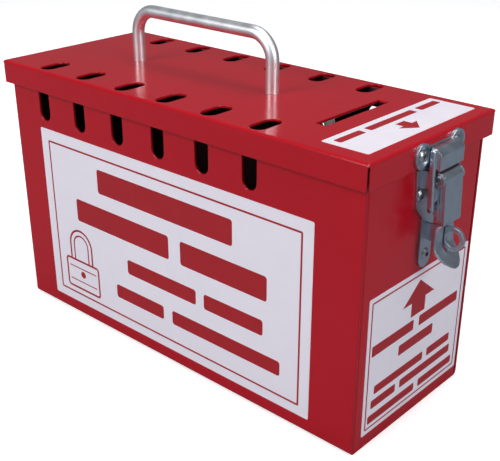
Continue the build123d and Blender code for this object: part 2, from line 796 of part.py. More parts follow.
# Link pivot pins: stepped pins fixed in the lever's sides
pin_inner = lever_half - latch_sheet - link_pin_diameter / 2
pin_outer = link_leg_gap + link_leg_thickness + link_pin_diameter / 6
collar_length = link_leg_gap - lever_half - 2 * running_fit
with BuildPart() as link_pivot_pins:
    for pin_side in (-1, 1):
        with BuildSketch(across(latch_y + pin_side * (pin_inner + pin_outer) / 2)):
            with Locations((link_x, link_z)):
                Circle(link_pin_diameter / 2)
        extrude(amount=(pin_outer - pin_inner) / 2, both=True)
        with BuildSketch(across(latch_y + pin_side * (lever_half + link_leg_gap) / 2)):
            with Locations((link_x, link_z)):
                Circle(link_pin_collar / 2)
        extrude(amount=collar_length / 2, both=True)
link_pivot_pins.part.label = "link_pivot_pins"
export_step(link_pivot_pins.part, "parts/link_pivot_pins.step")

# Keeper: a plate with two round ears on the lid's flange and a trough for the link's hook
with BuildPart() as latch_keeper:
    with BuildSketch(Plane.YZ.offset(flange_x)):
        with Locations(keeper_rivet_places):
            Circle(keeper_ear_diameter / 2)
        with Locations((latch_y, keeper_z)):
            Rectangle(keeper_rivet_spacing, keeper_bar_height)
        with Locations(keeper_rivet_places):
            Circle(rivet_shank / 2 + rivet_fit, mode=Mode.SUBTRACT)
    extrude(amount=keeper_sheet)
    with BuildSketch(Plane.YZ.offset(keeper_face_x)):
        with Locations(keeper_rivet_places):
            Circle(keeper_ear_diameter / 2)
            Circle(keeper_ear_diameter / 2 - keeper_rim_width, mode=Mode.SUBTRACT)
    extrude(amount=keeper_rim_height)
    with BuildSketch(across(latch_y)):
        with BuildLine():
            FilletPolyline(
                (flange_x + keeper_sheet / 2, keeper_z),
                (flange_x + keeper_sheet / 2, floor_z),
                (lip_x + keeper_sheet / 2, floor_z),
                (lip_x + keeper_sheet / 2, lip_top_z),
                radius=keeper_sheet,
            )
            offset(amount=keeper_sheet / 2, side=Side.BOTH)
        make_face()
    extrude(amount=keeper_hook_width / 2, both=True)
latch_keeper.part.label = "latch_keeper"
export_step(latch_keeper.part, "parts/latch_keeper.step")

# Keeper rivets
with BuildPart() as keeper_rivets:
    for rivet_y, rivet_z in keeper_rivet_places:
        rivet(
            keeper_face_x,
            rivet_y,
            rivet_z,
            1,
            keeper_sheet + sheet,
            keeper_rivet_head,
            flat_tail_height,
        )
keeper_rivets.part.label = "keeper_rivets"
export_step(keeper_rivets.part, "parts/keeper_rivets.step")

# Labels: thin vinyl plates with rounded corners
with BuildPart() as front_label:
    with BuildSketch(across(-side_y)):
        with Locations(
            (
                -wall_x + front_label_left + front_label_size[0] / 2,
                front_label_bottom + front_label_size[1] / 2,
            )
        ):
            RectangleRounded(front_label_size[0], front_label_size[1], label_corner)
    extrude(amount=label_thickness)
front_label.part.label = "front_label"
export_step(front_label.part, "parts/front_label.step")

with BuildPart() as end_label:
    with BuildSketch(Plane.YZ.offset(wall_x)):
        with Locations((end_label_y, end_label_bottom + end_label_size[1] / 2)):
            RectangleRounded(end_label_size[0], end_label_size[1], label_corner)
    extrude(amount=label_thickness)
end_label.part.label = "end_label"
export_step(end_label.part, "parts/end_label.step")

with BuildPart() as top_label:
    with BuildSketch(Plane.XY.offset(lid_top_z)):
        with Locations((flange_x - top_label_from_end - top_label_size[0] / 2, top_label_y)):
            RectangleRounded(top_label_size[0], top_label_size[1], label_corner)
    extrude(amount=label_thickness)
top_label.part.label = "top_label"
export_step(top_label.part, "parts/top_label.step")
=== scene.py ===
"""Looks for a steel group lockout box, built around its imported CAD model.

Everything is in metres in the CAD model's own frame: X runs towards the latch, Y to the rear wall and Z up.
Sizes in millimetres carry mm in their name, apart from the labels' artwork, which is all in millimetres. They
are turned to metres where they are used.
"""

import logging
import math
from dataclasses import dataclass, field
from enum import Enum
from typing import Any, Dict, Iterable, List, Optional, Sequence, Tuple, Union

import bmesh
import bpy
from mathutils import Matrix, Vector

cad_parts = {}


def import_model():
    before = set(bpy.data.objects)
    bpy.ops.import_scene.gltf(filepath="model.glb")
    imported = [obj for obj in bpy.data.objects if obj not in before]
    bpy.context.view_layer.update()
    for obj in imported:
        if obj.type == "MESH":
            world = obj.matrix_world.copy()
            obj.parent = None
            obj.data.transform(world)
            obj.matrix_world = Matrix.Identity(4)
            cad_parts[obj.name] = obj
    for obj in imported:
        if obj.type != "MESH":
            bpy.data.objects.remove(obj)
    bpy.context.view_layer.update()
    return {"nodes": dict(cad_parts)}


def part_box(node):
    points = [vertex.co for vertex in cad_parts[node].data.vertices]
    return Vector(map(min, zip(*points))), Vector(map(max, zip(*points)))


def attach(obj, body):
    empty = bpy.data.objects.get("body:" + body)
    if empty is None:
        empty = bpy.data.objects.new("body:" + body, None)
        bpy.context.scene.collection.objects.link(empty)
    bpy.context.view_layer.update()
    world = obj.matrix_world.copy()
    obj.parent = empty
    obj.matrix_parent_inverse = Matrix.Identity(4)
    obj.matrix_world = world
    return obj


log = logging.getLogger("lockout_box")

MM = 0.001
PHOTO_SIZE = (500, 461)
# Noise seldom leaves this part of its range, which is spread from a finish's glossiest to its dullest.
NOISE_LOW, NOISE_HIGH = 0.3, 0.7
EDGE_SAMPLES = 4
# Places of a mix node's sockets, which Blender gives the same names: its share, then colours, then numbers.
SHARE = 0
COLOUR_A, COLOUR_B, COLOUR_OUT = 6, 7, 2
NUMBER_A, NUMBER_B, NUMBER_OUT = 2, 3, 0

Point = Tuple[float, float]
Loop = List[Point]
Input = Union[str, int]


def linear(colour: str) -> Tuple[float, float, float, float]:
    """Turns an sRGB hex colour to the linear values that the shaders take.

    Args:
        colour: Six hex digits after a hash, such as "#AC1826".

    Returns:
        Linear red, green, blue and an alpha of one.
    """
    # The numbers are those of the sRGB standard.
    channels = [int(colour[i : i + 2], 16) / 255 for i in (1, 3, 5)]
    values = [c / 12.92 if c <= 0.04045 else ((c + 0.055) / 1.055) ** 2.4 for c in channels]
    return (values[0], values[1], values[2], 1.0)


def add_node(
    tree: bpy.types.NodeTree,
    kind: str,
    settings: Optional[Dict[Input, Any]] = None,
    links: Optional[Dict[Input, bpy.types.NodeSocket]] = None,
) -> bpy.types.Node:
    """Adds a shader node with its settings and incoming links.

    Args:
        tree: The node tree that takes the node.
        kind: Blender's type name of the node.
        settings: Values by the input's name or place, or by property name where no input has that name.
        links: Output sockets of other nodes, by the name or place of the input that each feeds.

    Returns:
        The new node.
    """
    node = tree.nodes.new(kind)
    for name, value in (settings or {}).items():
        if isinstance(name, int) or name in node.inputs:
            node.inputs[name].default_value = value
        else:
            setattr(node, name, value)
    for name, socket in (links or {}).items():
        tree.links.new(socket, node.inputs[name])
    return node


def new_material(name: str) -> Tuple[bpy.types.Material, bpy.types.NodeTree]:
    """Makes an empty node material.

    Args:
        name: The material's name.

    Returns:
        The material and its node tree, which holds no nodes yet.
    """
    material = bpy.data.materials.new(name)
    material.use_nodes = True
    material.node_tree.nodes.clear()
    return material, material.node_tree


def per_metre(size_mm: float) -> float:
    """Gives the texture scale whose features are about size_mm wide."""
    return 1.0 / (size_mm * MM)


@dataclass(frozen=True)
class BakedEnamel:
    """Baked enamel, sprayed on sheet steel and cured: a smooth gloss with a faint orange peel.

    Inside the box the enamel is painted darker, as painted shade, and is flatter.
    """

    hollow: Tuple[Vector, Vector]
    name: str = "baked_enamel_red"
    colour: str = "#BC1020"
    shade: str = "#B00D1D"
    # Painted shade: the dark colour of the surfaces inside the hollow.
    painted_shade_inside: str = "#3A1517"
    inside_roughness: float = 0.6
    ior: float = 1.5
    specular: float = 0.4
    roughness: Tuple[float, float] = (0.14, 0.21)
    peel_mm: float = 1.9
    peel_depth_mm: float = 0.02
    peel_strength: float = 0.12
    pooling_mm: float = 70.0
    handling_mm: float = pooling_mm / 3
    edge_mm: float = 0.8

    def inside(self, tree: bpy.types.NodeTree, place: bpy.types.NodeSocket) -> bpy.types.NodeSocket:
        """Finds the surfaces that face the hollow of the box.

        Args:
            tree: The enamel's node tree.
            place: The point's place in the CAD model's frame.

        Returns:
            A socket that is one inside the hollow and zero outside.
        """
        low, high = self.hollow
        middle, half = (low + high) / 2, (high - low) / 2
        offset = add_node(tree, "ShaderNodeVectorMath", {"operation": "SUBTRACT", 1: middle}, {0: place})
        reach = add_node(
            tree,
            "ShaderNodeVectorMath",
            {"operation": "ABSOLUTE"},
            {0: offset.outputs["Vector"]},
        )
        depth = add_node(
            tree,
            "ShaderNodeVectorMath",
            {"operation": "SUBTRACT", 0: half},
            {1: reach.outputs["Vector"]},
        )
        axes = add_node(tree, "ShaderNodeSeparateXYZ", {}, {"Vector": depth.outputs["Vector"]})
        level = add_node(
            tree,
            "ShaderNodeMath",
            {"operation": "MINIMUM"},
            {0: axes.outputs["X"], 1: axes.outputs["Y"]},
        )
        least = add_node(
            tree,
            "ShaderNodeMath",
            {"operation": "MINIMUM"},
            {0: level.outputs["Value"], 1: axes.outputs["Z"]},
        )
        within = add_node(
            tree,
            "ShaderNodeMath",
            {"operation": "GREATER_THAN", 1: 0.0},
            {0: least.outputs["Value"]},
        )
        return within.outputs["Value"]

    def build(self) -> bpy.types.Material:
        """Builds the enamel, with softened edges, orange peel, slow changes of film thickness and painted
        shade inside the hollow.

        Returns:
            The finished material.
        """
        material, tree = new_material(self.name)
        place = add_node(tree, "ShaderNodeTexCoord").outputs["Object"]
        inside = self.inside(tree, place)
        # Film thickness drifts over the width of a hand, which shifts the red a little.
        pooling = add_node(
            tree,
            "ShaderNodeTexNoise",
            {"Scale": per_metre(self.pooling_mm), "Detail": 3.0, "Roughness": 0.5},
            {"Vector": place},
        )
        tone = add_node(
            tree,
            "ShaderNodeMix",
            {"data_type": "RGBA", COLOUR_A: linear(self.shade), COLOUR_B: linear(self.colour)},
            {SHARE: pooling.outputs["Fac"]},
        )
        # Inside the hollow the red gives way to a dark red-brown, which is painted shade.
        coat = add_node(
            tree,
            "ShaderNodeMix",
            {"data_type": "RGBA", COLOUR_B: linear(self.painted_shade_inside)},
            {SHARE: inside, COLOUR_A: tone.outputs[COLOUR_OUT]},
        )
        # Orange peel: shallow dimples about 2 mm across that break up the reflections.
        peel = add_node(
            tree,
            "ShaderNodeTexNoise",
            {"Scale": per_metre(self.peel_mm), "Detail": 1.0, "Roughness": 0.4},
            {"Vector": place},
        )
        edge = add_node(tree, "ShaderNodeBevel", {"samples": EDGE_SAMPLES, "Radius": self.edge_mm * MM})
        bump = add_node(
            tree,
            "ShaderNodeBump",
            {"Strength": self.peel_strength, "Distance": self.peel_depth_mm * MM},
            {"Height": peel.outputs["Fac"], "Normal": edge.outputs["Normal"]},
        )
        # Handling dulls the gloss in patches.
        handling = add_node(
            tree,
            "ShaderNodeTexNoise",
            {"Scale": per_metre(self.handling_mm), "Detail": 4.0, "Roughness": 0.6},
            {"Vector": place},
        )
        glossiest, dullest = self.roughness
        dullness = add_node(
            tree,
            "ShaderNodeMapRange",
            {"From Min": NOISE_LOW, "From Max": NOISE_HIGH, "To Min": glossiest, "To Max": dullest},
            {"Value": handling.outputs["Fac"]},
        )
        flatness = add_node(
            tree,
            "ShaderNodeMix",
            {"data_type": "FLOAT", NUMBER_B: self.inside_roughness},
            {SHARE: inside, NUMBER_A: dullness.outputs["Result"]},
        )
        surface = add_node(
            tree,
            "ShaderNodeBsdfPrincipled",
            {"Metallic": 0.0, "IOR": self.ior, "Specular IOR Level": self.specular},
            {
                "Base Color": coat.outputs[COLOUR_OUT],
                "Roughness": flatness.outputs[NUMBER_OUT],
                "Normal": bump.outputs["Normal"],
            },
        )
        add_node(tree, "ShaderNodeOutputMaterial", {}, {"Surface": surface.outputs["BSDF"]})
        return material


@dataclass(frozen=True)
class PlatedSteel:
    """Plated steel: bare metal, some of it under a thin bright film, with soft blotches and fine marks."""

    name: str
    colour: str
    shade: str
    roughness: Tuple[float, float]
    blotch_mm: float
    grain_mm: float = 0.5
    grain_stretch: Tuple[float, float, float] = (1.0, 1.0, 1.0)
    grain_depth_mm: float = 0.006
    grain_strength: float = 0.25
    edge_mm: float = 0.25
    film: float = 0.0
    film_roughness: float = 0.1

    def build(self) -> bpy.types.Material:
        """Builds the metal, with the plating's blotches in colour and gloss and a fine grain in the normal.

        Returns:
            The finished material.
        """
        material, tree = new_material(self.name)
        place = add_node(tree, "ShaderNodeTexCoord").outputs["Object"]
        # Plating takes unevenly, in patches a few millimetres wide.
        blotch = add_node(
            tree,
            "ShaderNodeTexNoise",
            {"Scale": per_metre(self.blotch_mm), "Detail": 4.0, "Roughness": 0.6},
            {"Vector": place},
        )
        tone = add_node(
            tree,
            "ShaderNodeMix",
            {"data_type": "RGBA", COLOUR_A: linear(self.shade), COLOUR_B: linear(self.colour)},
            {SHARE: blotch.outputs["Fac"]},
        )
        glossiest, dullest = self.roughness
        gloss = add_node(
            tree,
            "ShaderNodeMapRange",
            {"From Min": NOISE_LOW, "From Max": NOISE_HIGH, "To Min": glossiest, "To Max": dullest},
            {"Value": blotch.outputs["Fac"]},
        )
        # Grain finer than a pixel is drawn at about half a millimetre, so that it still shows.
        stretch = add_node(tree, "ShaderNodeMapping", {"Scale": self.grain_stretch}, {"Vector": place})
        grain = add_node(
            tree,
            "ShaderNodeTexNoise",
            {"Scale": per_metre(self.grain_mm), "Detail": 3.0, "Roughness": 0.6},
            {"Vector": stretch.outputs["Vector"]},
        )
        edge = add_node(tree, "ShaderNodeBevel", {"samples": EDGE_SAMPLES, "Radius": self.edge_mm * MM})
        bump = add_node(
            tree,
            "ShaderNodeBump",
            {"Strength": self.grain_strength, "Distance": self.grain_depth_mm * MM},
            {"Height": grain.outputs["Fac"], "Normal": edge.outputs["Normal"]},
        )
        surface = add_node(
            tree,
            "ShaderNodeBsdfPrincipled",
            {"Metallic": 1.0, "Coat Weight": self.film, "Coat Roughness": self.film_roughness},
            {
                "Base Color": tone.outputs[COLOUR_OUT],
                "Roughness": gloss.outputs["Result"],
                "Normal": bump.outputs["Normal"],
            },
        )
        add_node(tree, "ShaderNodeOutputMaterial", {}, {"Surface": surface.outputs["BSDF"]})
        return material


@dataclass(frozen=True)
class CastVinyl:
    """Cast vinyl film, laminated, or the ink printed on it: an even, slightly waxy gloss."""

    name: str
    colour: str
    shade: str
    roughness: Tuple[float, float] = (0.28, 0.36)
    ior: float = 1.53
    ripple_mm: float = 14.0
    ripple_depth_mm: float = 0.03
    ripple_strength: float = 0.2

    def build(self) -> bpy.types.Material:
        """Builds the film, with faint ripples where it was smoothed down by hand.

        Returns:
            The finished material.
        """
        material, tree = new_material(self.name)
        place = add_node(tree, "ShaderNodeTexCoord").outputs["Object"]
        ripple = add_node(
            tree,
            "ShaderNodeTexNoise",
            {"Scale": per_metre(self.ripple_mm), "Detail": 2.0, "Roughness": 0.5},
            {"Vector": place},
        )
        tone = add_node(
            tree,
            "ShaderNodeMix",
            {"data_type": "RGBA", COLOUR_A: linear(self.shade), COLOUR_B: linear(self.colour)},
            {SHARE: ripple.outputs["Fac"]},
        )
        glossiest, dullest = self.roughness
        gloss = add_node(
            tree,
            "ShaderNodeMapRange",
            {"From Min": NOISE_LOW, "From Max": NOISE_HIGH, "To Min": glossiest, "To Max": dullest},
            {"Value": ripple.outputs["Fac"]},
        )
        bump = add_node(
            tree,
            "ShaderNodeBump",
            {"Strength": self.ripple_strength, "Distance": self.ripple_depth_mm * MM},
            {"Height": ripple.outputs["Fac"]},
        )
        surface = add_node(
            tree,
            "ShaderNodeBsdfPrincipled",
            {"Metallic": 0.0, "IOR": self.ior},
            {
                "Base Color": tone.outputs[COLOUR_OUT],
                "Roughness": gloss.outputs["Result"],
                "Normal": bump.outputs["Normal"],
            },
        )
        add_node(tree, "ShaderNodeOutputMaterial", {}, {"Surface": surface.outputs["BSDF"]})
        return material


@dataclass(frozen=True)
class StudioPaper:
    """Studio paper: a matt white sheet under the box, which is grey where the box mirrors it."""

    name: str = "studio_paper"
    colour: str = "#FCFCFC"
    mirrored: str = "#868B93"
    fibre_mm: float = 3.0
    fibre_depth_mm: float = 0.1
    fibre_strength: float = 0.02
    glow: float = 0.42

    def build(self) -> bpy.types.Material:
        """Builds the paper with a very faint fibre.

        Returns:
            The finished material.
        """
        material, tree = new_material(self.name)
        place = add_node(tree, "ShaderNodeTexCoord").outputs["Object"]
        fibre = add_node(
            tree,
            "ShaderNodeTexNoise",
            {"Scale": per_metre(self.fibre_mm), "Detail": 2.0},
            {"Vector": place},
        )
        bump = add_node(
            tree,
            "ShaderNodeBump",
            {"Strength": self.fibre_strength, "Distance": self.fibre_depth_mm * MM},
            {"Height": fibre.outputs["Fac"]},
        )
        lit = add_node(
            tree,
            "ShaderNodeBsdfDiffuse",
            {"Color": linear(self.colour)},
            {"Normal": bump.outputs["Normal"]},
        )
        # A little light comes through the paper from behind, which keeps its far side white.
        glow = add_node(tree, "ShaderNodeEmission", {"Color": linear(self.colour), "Strength": self.glow})
        seen = add_node(
            tree,
            "ShaderNodeAddShader",
            {},
            {0: lit.outputs["BSDF"], 1: glow.outputs["Emission"]},
        )
        # The photograph's white was laid in afterwards, so what the box mirrors is darker than what is seen.
        mirrored = add_node(tree, "ShaderNodeBsdfDiffuse", {"Color": linear(self.mirrored)})
        ray = add_node(tree, "ShaderNodeLightPath")
        surface = add_node(
            tree,
            "ShaderNodeMixShader",
            {},
            {"Fac": ray.outputs["Is Camera Ray"], 1: mirrored.outputs["BSDF"], 2: seen.outputs["Shader"]},
        )
        add_node(tree, "ShaderNodeOutputMaterial", {}, {"Surface": surface.outputs["Shader"]})
        return material


class Finish(Enum):
    """The finishes of the box. All but GALVANISED and INK carry the name of their slot in the record."""

    ENAMEL = "red_paint"
    ZINC = "zinc_steel"
    GALVANISED = "galvanised_steel"
    BRIGHT = "bright_steel"
    RIVET = "rivet_steel"
    FIXING = "fixing_steel"
    VINYL = "label_vinyl"
    INK = "label_ink"


class PaintShop:
    """Builds every finish once and puts it on CAD nodes and new pieces.

    The hollow that gets the painted shade starts within the sheet, just short of its inner face, and it ends
    just above the underside of the lid, so that it takes in both.
    """

    skin_mm: float = 1.15
    lid_gap_mm: float = 0.35

    def __init__(self) -> None:
        """Mixes all the finishes."""
        low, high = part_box("body_wrap")
        skin = Vector((self.skin_mm, self.skin_mm, self.skin_mm)) * MM
        hollow = (low + skin, high - skin)
        hollow[1].z = high.z + self.lid_gap_mm * MM
        self.finishes: Dict[Finish, bpy.types.Material] = {
            # Red enamel: a warm signal red whose gloss picks up the studio's white.
            Finish.ENAMEL: BakedEnamel(hollow).build(),
            # Zinc plate with a clear blue passivation: cool grey and half bright, under a film that glints.
            Finish.ZINC: PlatedSteel(
                "zinc_blue_passivated",
                colour="#CBD5E0",
                shade="#A9B5C2",
                roughness=(0.28, 0.38),
                blotch_mm=5.0,
                edge_mm=0.45,
                film=0.6,
                film_roughness=0.06,
            ).build(),
            # Galvanised strip: paler than the plated parts, and matt.
            Finish.GALVANISED: PlatedSteel(
                "galvanised_strip",
                colour="#D8D5CC",
                shade="#BDBBB4",
                roughness=(0.6, 0.7),
                blotch_mm=3.0,
            ).build(),
            # Drawn rod, nickel plated: near white, with lines along the rod.
            Finish.BRIGHT: PlatedSteel(
                "nickel_plated_rod",
                colour="#F5F7FA",
                shade="#E6E9ED",
                roughness=(0.38, 0.48),
                blotch_mm=9.0,
                grain_mm=0.6,
                grain_stretch=(0.15, 1.0, 0.4),
                grain_depth_mm=0.004,
            ).build(),
            # Rivets: zinc that was rubbed bright when they were set.
            Finish.RIVET: PlatedSteel(
                "zinc_rivet",
                colour="#C8CED2",
                shade="#A4ABB0",
                roughness=(0.24, 0.38),
                blotch_mm=2.5,
                grain_mm=0.4,
                film=0.5,
            ).build(),
            # Pins, screws and washers: plain zinc, a little duller.
            Finish.FIXING: PlatedSteel(
                "zinc_fixing",
                colour="#A9B0B4",
                shade="#858D92",
                roughness=(0.28, 0.42),
                blotch_mm=3.0,
                grain_mm=0.4,
            ).build(),
            # White label film: faintly cool, with a soft shine.
            Finish.VINYL: CastVinyl("cast_vinyl_white", colour="#FAF4FC", shade="#F3EDF8").build(),
            # Screen ink on the labels: nearly the red of the box, a little flatter.
            Finish.INK: CastVinyl(
                "screen_ink_red",
                colour="#B2141F",
                shade="#A6101B",
                roughness=(0.36, 0.44),
            ).build(),
        }

    def coat(self, node: bpy.types.Object, finish: Finish) -> None:
        """Puts a finish on all of a CAD node.

        Args:
            node: The CAD node's object.
            finish: The finish it takes.
        """
        material = self.finishes[finish]
        if not node.material_slots:
            node.data.materials.append(material)
        for slot in node.material_slots:
            slot.material = material

    def coat_all(self, nodes: Dict[str, bpy.types.Object], names: Iterable[str], finish: Finish) -> None:
        """Puts one finish on several CAD nodes.

        Args:
            nodes: The CAD nodes by name.
            names: The names of the nodes to coat.
            finish: The finish they take.
        """
        for name in names:
            self.coat(nodes[name], finish)
            log.info("CAD node %s is finished in %s", name, self.finishes[finish].name)


class Face(Enum):
    """The faces of the box that carry a label, each with its across, up and outward directions."""

    FRONT = ((1, 0, 0), (0, 0, 1), (0, -1, 0))
    END = ((0, 1, 0), (0, 0, 1), (1, 0, 0))
    TOP = ((1, 0, 0), (0, 1, 0), (0, 0, 1))

    def seat(self, node: str) -> Matrix:
        """Gives the placement of artwork on a label's outer face.

        Args:
            node: The label's CAD node.

        Returns:
            A matrix from the face's own across, up and outward directions to the CAD model's frame.
        """
        across, up, out = (Vector(direction) for direction in self.value)
        low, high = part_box(node)
        placement = Matrix((across, up, out)).transposed().to_4x4()
        placement.translation = out * max(low.dot(out), high.dot(out))
        return placement


@dataclass
class Artwork:
    """Flat printed shapes, all in millimetres, which become one thin raised mesh."""

    rings: List[Tuple[Loop, Loop]] = field(default_factory=list)
    patches: List[Loop] = field(default_factory=list)
    least_radius: float = 0.1
    quad_corners: int = 4

    @staticmethod
    def rounded(low: Point, high: Point, radius: float, steps: int = 6) -> Loop:
        """Draws a rectangle with rounded corners.

        Args:
            low: The lowest corner.
            high: The highest corner.
            radius: The corner radius.
            steps: Pieces that each corner's arc is drawn in.

        Returns:
            The points in turn, anticlockwise.
        """
        arcs = (
            (high[0] - radius, high[1] - radius, 0),
            (low[0] + radius, high[1] - radius, 90),
            (low[0] + radius, low[1] + radius, 180),
            (high[0] - radius, low[1] + radius, 270),
        )
        loop: Loop = []
        for x, y, start in arcs:
            for step in range(steps + 1):
                angle = math.radians(start + 90 * step / steps)
                loop.append((x + radius * math.cos(angle), y + radius * math.sin(angle)))
        return loop

    def bar(self, low: Point, high: Point, radius: float) -> None:
        """Adds a solid bar with rounded corners."""
        self.patches.append(self.rounded(low, high, radius))

    def border(self, low: Point, high: Point, line: float, radius: float = 1.0) -> None:
        """Adds a rectangular line of the given width, measured inwards."""
        outer = self.rounded(low, high, radius)
        inner_low = (low[0] + line, low[1] + line)
        inner_high = (high[0] - line, high[1] - line)
        inner = self.rounded(inner_low, inner_high, max(radius - line, self.least_radius))
        self.rings.append((outer, inner))

    def arrow(
        self,
        tip: Point,
        head_base: float,
        head_half: float,
        tail_end: float,
        shaft_half: float,
        upward: bool,
    ) -> None:
        """Adds a block arrow.

        Args:
            tip: The arrow's point.
            head_base: Where the head ends, along the arrow's direction.
            head_half: Half the head's width.
            tail_end: Where the shaft ends, along the arrow's direction.
            shaft_half: Half the shaft's width.
            upward: Whether the arrow runs up the label, or else across it.
        """
        along, centre = (tip[1], tip[0]) if upward else (tip[0], tip[1])
        outline = [
            (along, 0.0),
            (head_base, head_half),
            (head_base, shaft_half),
            (tail_end, shaft_half),
            (tail_end, -shaft_half),
            (head_base, -shaft_half),
            (head_base, -head_half),
        ]
        if upward:
            self.patches.append([(centre - across, run) for run, across in outline])
        else:
            self.patches.append([(run, centre + across) for run, across in outline])

    def arch(self, centre: Point, radius: float, line: float, leg: float, steps: int = 20) -> None:
        """Adds a band bent over in a half circle with two straight legs.

        Args:
            centre: The centre of the half circle.
            radius: The band's outer radius.
            line: The band's width.
            leg: The length of each leg.
            steps: Pieces that the half circle is drawn in.
        """
        x, y = centre
        inner_radius = radius - line
        foot = y - leg
        turns = [math.pi * step / steps for step in range(steps + 1)]
        outer = [(x + radius * math.cos(turn), y + radius * math.sin(turn)) for turn in turns]
        inner = [(x + inner_radius * math.cos(turn), y + inner_radius * math.sin(turn)) for turn in turns]
        loop = [(x + radius, foot), *outer, (x - radius, foot)]
        loop += [(x - inner_radius, foot), *reversed(inner), (x + inner_radius, foot)]
        self.patches.append(loop)

    def disc(self, centre: Point, radius: float, steps: int = 24) -> None:
        """Adds a solid disc."""
        x, y = centre
        turns = [2 * math.pi * step / steps for step in range(steps)]
        self.patches.append([(x + radius * math.cos(turn), y + radius * math.sin(turn)) for turn in turns])

    def mesh(self, name: str, seat: Matrix, sunk: float, proud: float) -> bpy.types.Object:
        """Builds the shapes as thin closed plates on a label.

        Args:
            name: The piece's name.
            seat: The placement of the label's outer face.
            sunk: How far the plates start inside the label's face, in metres.
            proud: How far they stand above it, in metres.

        Returns:
            The new object.
        """
        grid = bmesh.new()
        for loop in self.patches:
            face = grid.faces.new([grid.verts.new((x * MM, y * MM, -sunk)) for x, y in loop])
            if face.normal.z < 0:
                face.normal_flip()
        for outer, inner in self.rings:
            rim = [grid.verts.new((x * MM, y * MM, -sunk)) for x, y in outer]
            core = [grid.verts.new((x * MM, y * MM, -sunk)) for x, y in inner]
            for index in range(len(rim)):
                after = (index + 1) % len(rim)
                grid.faces.new((rim[index], rim[after], core[after], core[index]))
        grid.normal_update()
        raised = bmesh.ops.extrude_face_region(grid, geom=grid.faces[:], use_keep_orig=True)
        tops = [v for v in raised["geom"] if isinstance(v, bmesh.types.BMVert)]
        bmesh.ops.translate(grid, vec=(0, 0, sunk + proud), verts=tops)
        bmesh.ops.recalc_face_normals(grid, faces=grid.faces[:])
        bmesh.ops.triangulate(grid, faces=[f for f in grid.faces if len(f.verts) > self.quad_corners])
        mesh = bpy.data.meshes.new(name)
        grid.to_mesh(mesh)
        grid.free()
        mesh.transform(seat)
        piece = bpy.data.objects.new(name, mesh)
        bpy.context.scene.collection.objects.link(piece)
        return piece


@dataclass
class SheetBox:
    """The welded box and its lid in enamelled sheet steel, and the galvanised strip under the key slot."""

    painted: Sequence[str] = ("body_wrap", "end_panel_right", "end_panel_left", "lid")
    guard: str = "key_slot_guard"

    def dress(self, nodes: Dict[str, bpy.types.Object], shop: PaintShop) -> None:
        """Finishes the sheet steel.

        Args:
            nodes: The CAD nodes by name.
            shop: The paint shop.
        """
        shop.coat_all(nodes, self.painted, Finish.ENAMEL)
        shop.coat_all(nodes, (self.guard,), Finish.GALVANISED)


@dataclass
class CarryHandle:
    """The bent rod handle and the screws and washers under it."""

    rod: str = "carry_handle"
    fixings: Sequence[str] = ("handle_screws", "handle_washers")

    def dress(self, nodes: Dict[str, bpy.types.Object], shop: PaintShop) -> None:
        """Finishes the rod and its fixings.

        Args:
            nodes: The CAD nodes by name.
            shop: The paint shop.
        """
        shop.coat_all(nodes, (self.rod,), Finish.BRIGHT)
        shop.coat_all(nodes, self.fixings, Finish.FIXING)


@dataclass
class ButtHinge:
    """The hinge on the left end: two leaves, a pin and hollow rivets."""

    leaves: Sequence[str] = ("hinge_leaf_body", "hinge_leaf_lid")
    rivets: Sequence[str] = ("hinge_rivets_body", "hinge_rivets_lid")
    pin: str = "hinge_pin"

    def dress(self, nodes: Dict[str, bpy.types.Object], shop: PaintShop) -> None:
        """Finishes the hinge.

        Args:
            nodes: The CAD nodes by name.
            shop: The paint shop.
        """
        shop.coat_all(nodes, self.leaves, Finish.ZINC)
        shop.coat_all(nodes, self.rivets, Finish.RIVET)
        shop.coat_all(nodes, (self.pin,), Finish.FIXING)


@dataclass
class DrawLatch:
    """The draw latch: base, eye, lever, link, keeper, pins and rivets."""

    pressings: Sequence[str] = ("latch_base", "padlock_eye", "latch_lever", "latch_link", "latch_keeper")
    rivets: Sequence[str] = ("latch_base_rivets", "keeper_rivets")
    pins: Sequence[str] = ("lever_pivot_pin", "link_pivot_pins")

    def dress(self, nodes: Dict[str, bpy.types.Object], shop: PaintShop) -> None:
        """Finishes the latch.

        Args:
            nodes: The CAD nodes by name.
            shop: The paint shop.
        """
        shop.coat_all(nodes, self.pressings, Finish.ZINC)
        shop.coat_all(nodes, self.rivets, Finish.RIVET)
        shop.coat_all(nodes, self.pins, Finish.FIXING)


@dataclass(frozen=True)
class PadlockSign:
    """A plain padlock sign in millimetres: a body with two bands and a keyhole, and a shackle.

    The body's height and the shackle's radius are shares of the sign's width, and the bands and the keyhole
    stand at shares of the body's height.
    """

    low: Point = (-91.0, 18.0)
    high: Point = (-60.0, 59.0)
    line: float = 1.3
    corner: float = 2.5
    body_share: float = 0.66
    band_shares: Tuple[float, float] = (0.28, 0.72)
    band_inset: float = 3.0
    band_half: float = 0.35
    band_radius: float = 0.3
    keyhole_share: float = 0.54
    keyhole_radius: float = 2.2
    shackle_share: float = 0.34
    shackle_thickness: float = 3.6
    inner_line: float = 1.0

    def draw(self, art: Artwork) -> None:
        """Draws the sign.

        Args:
            art: The artwork that takes the shapes.
        """
        left, bottom = self.low
        right, top = self.high
        width = right - left
        middle = (left + right) / 2
        body_top = bottom + width * self.body_share
        body_height = body_top - bottom
        art.border(self.low, (right, body_top), self.line, self.corner)
        for share in self.band_shares:
            level = bottom + body_height * share
            art.bar(
                (left + self.band_inset, level - self.band_half),
                (right - self.band_inset, level + self.band_half),
                self.band_radius,
            )
        art.disc((middle, bottom + body_height * self.keyhole_share), self.keyhole_radius)
        radius = width * self.shackle_share
        bend = (middle, top - radius)
        leg = top - body_top - radius
        art.arch(bend, radius, self.line, leg)
        art.arch(bend, radius - self.shackle_thickness, self.inner_line, leg)


